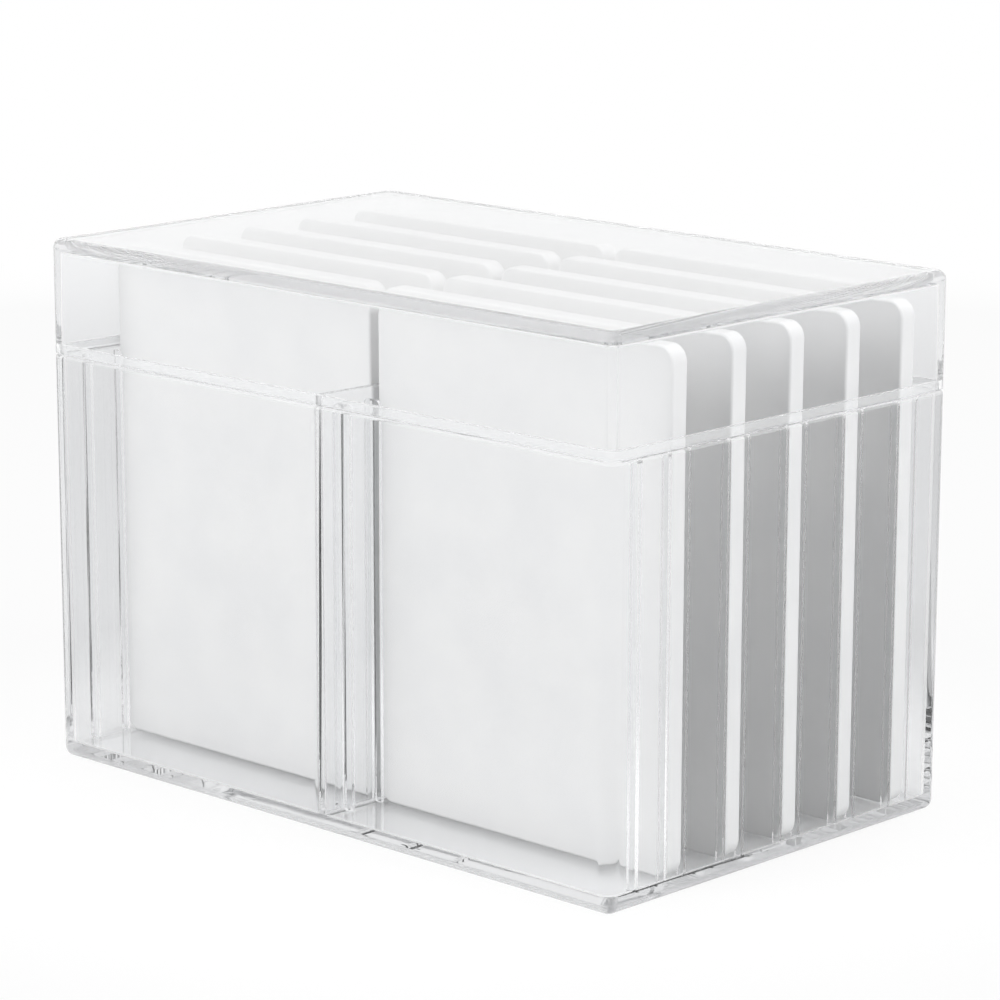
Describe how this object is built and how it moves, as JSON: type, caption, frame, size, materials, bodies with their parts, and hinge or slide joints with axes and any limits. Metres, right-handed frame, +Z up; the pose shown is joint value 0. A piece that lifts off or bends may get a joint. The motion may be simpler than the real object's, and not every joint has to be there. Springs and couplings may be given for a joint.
{
  "type": "false eyelash storage box",
  "caption": "Clear rectangular box with a lift-off lid and a middle web, whose upright slots hold white lash tiles standing on edge.",
  "frame": {"origin": "centre of the flat underside, on the surface that the box stands on", "axes": "+X along the long front to the right, +Y from the front long wall to the back, +Z up"},
  "size_m": [0.185, 0.116, 0.13],
  "materials": {
    "clear_plastic": "clear, polished",
    "white_tile": "opaque white, satin"
  },
  "bodies": {
    "base": {"base_case": "clear_plastic"},
    "cover": {"lid": "clear_plastic"},
    "tile_left_1_body": {"tile_left_1": "white_tile"},
    "tile_left_2_body": {"tile_left_2": "white_tile"},
    "tile_left_3_body": {"tile_left_3": "white_tile"},
    "tile_left_4_body": {"tile_left_4": "white_tile"},
    "tile_left_5_body": {"tile_left_5": "white_tile"},
    "tile_right_1_body": {"tile_right_1": "white_tile"},
    "tile_right_2_body": {"tile_right_2": "white_tile"},
    "tile_right_3_body": {"tile_right_3": "white_tile"},
    "tile_right_4_body": {"tile_right_4": "white_tile"},
    "tile_right_5_body": {"tile_right_5": "white_tile"}
  },
  "joints": [
    {"name": "lid_lift", "type": "slide", "parent": "base", "child": "cover", "axis": [0, 0, 1], "range_m": [0, 0.16]},
    {"name": "tile_left_1_lift", "type": "slide", "parent": "base", "child": "tile_left_1_body", "axis": [0, 0, 1], "range_m": [0, 0.112]},
    {"name": "tile_left_2_lift", "type": "slide", "parent": "base", "child": "tile_left_2_body", "axis": [0, 0, 1], "range_m": [0, 0.112]},
    {"name": "tile_left_3_lift", "type": "slide", "parent": "base", "child": "tile_left_3_body", "axis": [0, 0, 1], "range_m": [0, 0.112]},
    {"name": "tile_left_4_lift", "type": "slide", "parent": "base", "child": "tile_left_4_body", "axis": [0, 0, 1], "range_m": [0, 0.112]},
    {"name": "tile_left_5_lift", "type": "slide", "parent": "base", "child": "tile_left_5_body", "axis": [0, 0, 1], "range_m": [0, 0.112]},
    {"name": "tile_right_1_lift", "type": "slide", "parent": "base", "child": "tile_right_1_body", "axis": [0, 0, 1], "range_m": [0, 0.112]},
    {"name": "tile_right_2_lift", "type": "slide", "parent": "base", "child": "tile_right_2_body", "axis": [0, 0, 1], "range_m": [0, 0.112]},
    {"name": "tile_right_3_lift", "type": "slide", "parent": "base", "child": "tile_right_3_body", "axis": [0, 0, 1], "range_m": [0, 0.112]},
    {"name": "tile_right_4_lift", "type": "slide", "parent": "base", "child": "tile_right_4_body", "axis": [0, 0, 1], "range_m": [0, 0.112]},
    {"name": "tile_right_5_lift", "type": "slide", "parent": "base", "child": "tile_right_5_body", "axis": [0, 0, 1], "range_m": [0, 0.112]}
  ],
  "couplings": [
    {"joint": "tile_left_1_lift", "follows": "lid_lift", "ratio": 0.7},
    {"joint": "tile_left_2_lift", "follows": "lid_lift", "ratio": 0.7},
    {"joint": "tile_left_3_lift", "follows": "lid_lift", "ratio": 0.7},
    {"joint": "tile_left_4_lift", "follows": "lid_lift", "ratio": 0.7},
    {"joint": "tile_left_5_lift", "follows": "lid_lift", "ratio": 0.7},
    {"joint": "tile_right_1_lift", "follows": "lid_lift", "ratio": 0.7},
    {"joint": "tile_right_2_lift", "follows": "lid_lift", "ratio": 0.7},
    {"joint": "tile_right_3_lift", "follows": "lid_lift", "ratio": 0.7},
    {"joint": "tile_right_4_lift", "follows": "lid_lift", "ratio": 0.7},
    {"joint": "tile_right_5_lift", "follows": "lid_lift", "ratio": 0.7}
  ]
}
